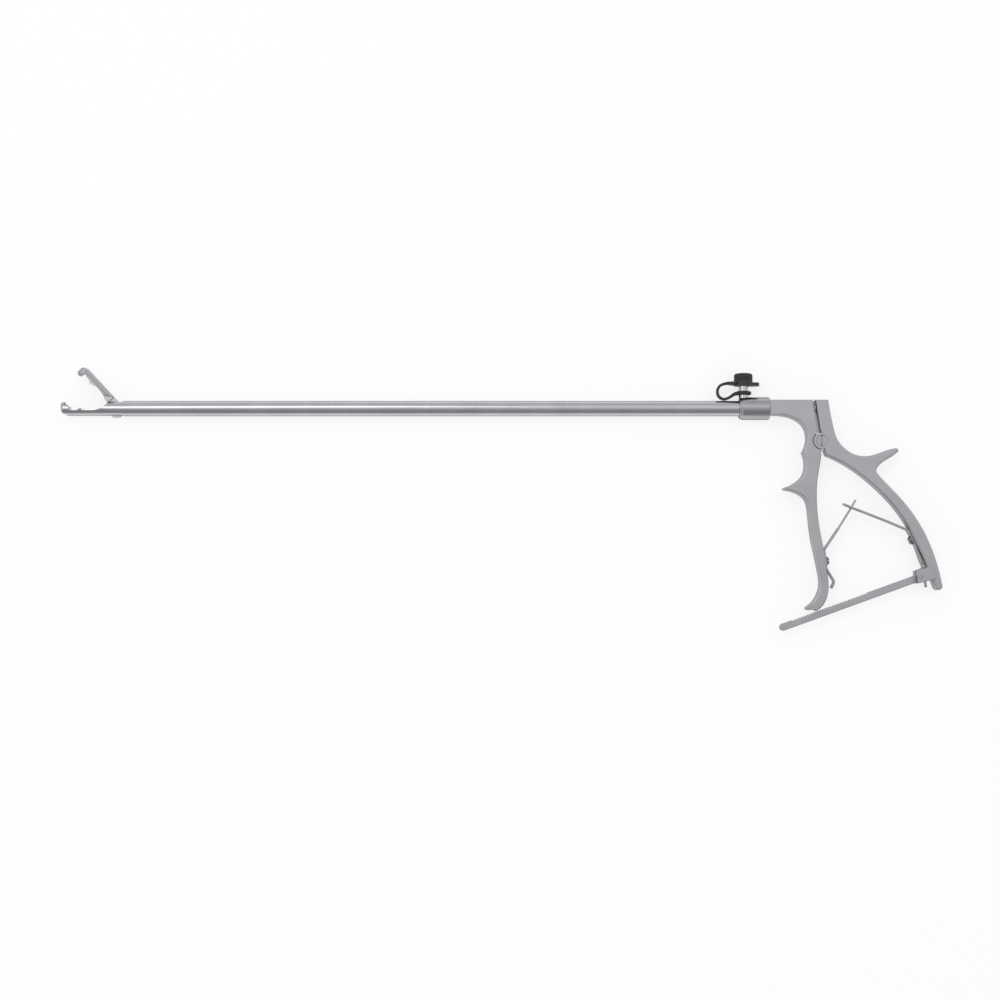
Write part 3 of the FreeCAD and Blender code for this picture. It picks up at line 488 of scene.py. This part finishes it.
def bar_outline():
    """The bar's side view in millimetres, with round ends and teeth on its upper edge."""
    half = BAR_HALF_HEIGHT
    outline = [(half * math.sin(turn), -half * math.cos(turn)) for turn in HALF_TURN]
    for number in range(TOOTH_COUNT):
        crest = -FIRST_TOOTH - number * TOOTH_PITCH
        outline += [(crest, half), (crest - TOOTH_SLOPE_SHARE * TOOTH_PITCH, half - TOOTH_DEPTH)]
    outline.append((-FIRST_TOOTH - TOOTH_COUNT * TOOTH_PITCH, half))
    tip = -BAR_LENGTH + half
    return outline + [(tip - half * math.sin(turn), half * math.cos(turn)) for turn in HALF_TURN]


def make_bar():
    """The ratchet bar with the photograph's pitch of teeth, softened edges and its pin hole."""
    low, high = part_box("ratchet_bar")
    outline = bar_outline()
    turned = Matrix.Translation(BAR_PIN) @ Matrix.Rotation(BAR_ANGLE, 4, "Z")
    form = bmesh.new()
    sides = []
    for level in (low.z, high.z):
        sides.append([form.verts.new(turned @ Vector((x * MM, y * MM, level))) for x, y in outline])
    form.faces.new(sides[0])
    form.faces.new(sides[1])
    for number in range(len(outline)):
        after = (number + 1) % len(outline)
        form.faces.new((sides[0][number], sides[0][after], sides[1][after], sides[1][number]))
    bmesh.ops.recalc_face_normals(form, faces=form.faces)
    mesh = bpy.data.meshes.new("toothed_bar")
    fill_mesh(mesh, form)
    bar = new_piece("toothed_bar", mesh)
    bpy.ops.mesh.primitive_cylinder_add(
        radius=BAR_PIN_HOLE * MM, depth=BAR_DRILL_LENGTH * MM, vertices=32, location=BAR_PIN
    )
    drill = bpy.context.object
    bar.modifiers.new("hole", "BOOLEAN").object = drill
    add_edge_rounding(bar)
    mesh = apply_modifiers(bar)
    bpy.data.objects.remove(drill)
    form = bmesh.new()
    form.from_mesh(mesh)
    smooth_round_flats(form)
    fill_mesh(mesh, form)
    dress(bar, SATIN)
    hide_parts("ratchet_bar")
    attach(bar, "bar")


def background_share(add):
    """1 for the rays that see the background: the camera's, mirrored and transmitted ones."""
    path = add("ShaderNodeLightPath").outputs
    seen = add("ShaderNodeMath", {0: path["Is Camera Ray"], 1: path["Is Glossy Ray"]}, operation="MAXIMUM")
    either = add("ShaderNodeMath", {0: seen.outputs[0], 1: path["Is Transmission Ray"]}, operation="MAXIMUM")
    return either.outputs[0]


def make_floor():
    """A pale floor that shows white to the camera and keeps a faint shadow."""
    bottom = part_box("collar")[0].z
    bpy.ops.mesh.primitive_plane_add(size=FLOOR_SIZE, location=(0, 0, bottom))
    floor = bpy.context.object
    floor.name = "floor"
    material, add = new_material("floor_paper")
    paper = add("ShaderNodeBsdfDiffuse", {"Color": (FLOOR_ALBEDO, FLOOR_ALBEDO, FLOOR_ALBEDO, 1)})
    glow = add("ShaderNodeEmission", {"Strength": FLOOR_GLOW})
    lit = add("ShaderNodeAddShader", {0: paper.outputs[0], 1: glow.outputs[0]})
    chosen = add("ShaderNodeMixShader", {0: background_share(add), 1: paper.outputs[0], 2: lit.outputs[0]})
    add("ShaderNodeOutputMaterial", {"Surface": chosen.outputs[0]})
    dress(floor, material)


def make_world():
    """White at the horizon, and above it a grey studio that is darker on the camera's side."""
    world = bpy.data.worlds.new("studio")
    world.use_nodes = True
    world.node_tree.nodes.clear()
    scene.world = world
    add = node_adder(world.node_tree)
    direction = add("ShaderNodeTexCoord").outputs["Generated"]
    axes = add("ShaderNodeSeparateXYZ", {0: direction}).outputs
    across = add("ShaderNodeMapRange", {"Value": axes["Y"], "From Min": -1, "From Max": 1})
    ceiling = add("ShaderNodeValToRGB", {0: across.outputs[0]})
    points = ceiling.color_ramp.elements
    for number, (position, level) in enumerate(CEILING_LEVELS):
        point = points[number] if number < 2 else points.new(position)
        point.position = position
        point.color = (level, level, level * CEILING_BLUE, 1)
    rise = add("ShaderNodeMapRange", {"Value": axes["Z"], "From Min": HORIZON_RISE[0], "From Max": HORIZON_RISE[1]})
    backdrop = add(
        "ShaderNodeMix",
        {"Factor": rise.outputs[0], "A": (1, 1, 1, 1), "B": ceiling.outputs[0]},
        data_type="RGBA",
    )
    seen_sky = add("ShaderNodeBackground", {"Color": backdrop.outputs["Result"]})
    fill = add("ShaderNodeBackground", {"Strength": SKY_FILL})
    chosen = add("ShaderNodeMixShader", {0: background_share(add), 1: fill.outputs[0], 2: seen_sky.outputs[0]})
    add("ShaderNodeOutputWorld", {"Surface": chosen.outputs[0]})


def make_softbox(name, place, target, size, power):
    light = bpy.data.lights.new(name, "AREA")
    light.shape = "RECTANGLE"
    light.size, light.size_y = size
    light.energy = power
    lamp = new_piece(name, light)
    lamp.location = place
    lamp.rotation_euler = (Vector(target) - Vector(place)).to_track_quat("-Z", "Y").to_euler()
    lamp.visible_camera = False


def make_camera():
    """The photograph's view, from nearly straight above the flat side of the handles."""
    half_image = IMAGE_SIZE / 2
    target = Vector((
        (half_image - ORIGIN_PIXEL[0]) * METRES_PER_PIXEL,
        (ORIGIN_PIXEL[1] - half_image) * METRES_PER_PIXEL / math.sin(VIEW_ELEVATION),
        0,
    ))
    view_width = IMAGE_SIZE * METRES_PER_PIXEL
    distance = view_width * LENS / SENSOR_WIDTH + target.y * math.cos(VIEW_ELEVATION)
    back = Vector((0, -math.cos(VIEW_ELEVATION), math.sin(VIEW_ELEVATION)))
    data = bpy.data.cameras.new("camera")
    data.lens = LENS
    data.sensor_width = SENSOR_WIDTH
    camera = new_piece("camera", data)
    camera.location = target + back * distance
    camera.rotation_euler = (-back).to_track_quat("-Z", "Y").to_euler()
    scene.camera = camera


dress_nodes()
make_handle("grip_handle", "front_handle", "grip", GRIP_SHARP)
make_handle("thumb_handle", "thumb_lever", "lever", LEVER_SHARP)
make_leaf("front_leaf", "front_leaf_spring", FRONT_BEND, CROSSING)
make_leaf("rear_leaf", "rear_leaf_spring", REAR_BEND, CROSSING)
make_strap()
make_bar()
make_floor()
make_world()
for softbox, settings in SOFTBOXES.items():
    make_softbox(softbox, *settings)
make_camera()
scene.view_settings.view_transform = "Standard"
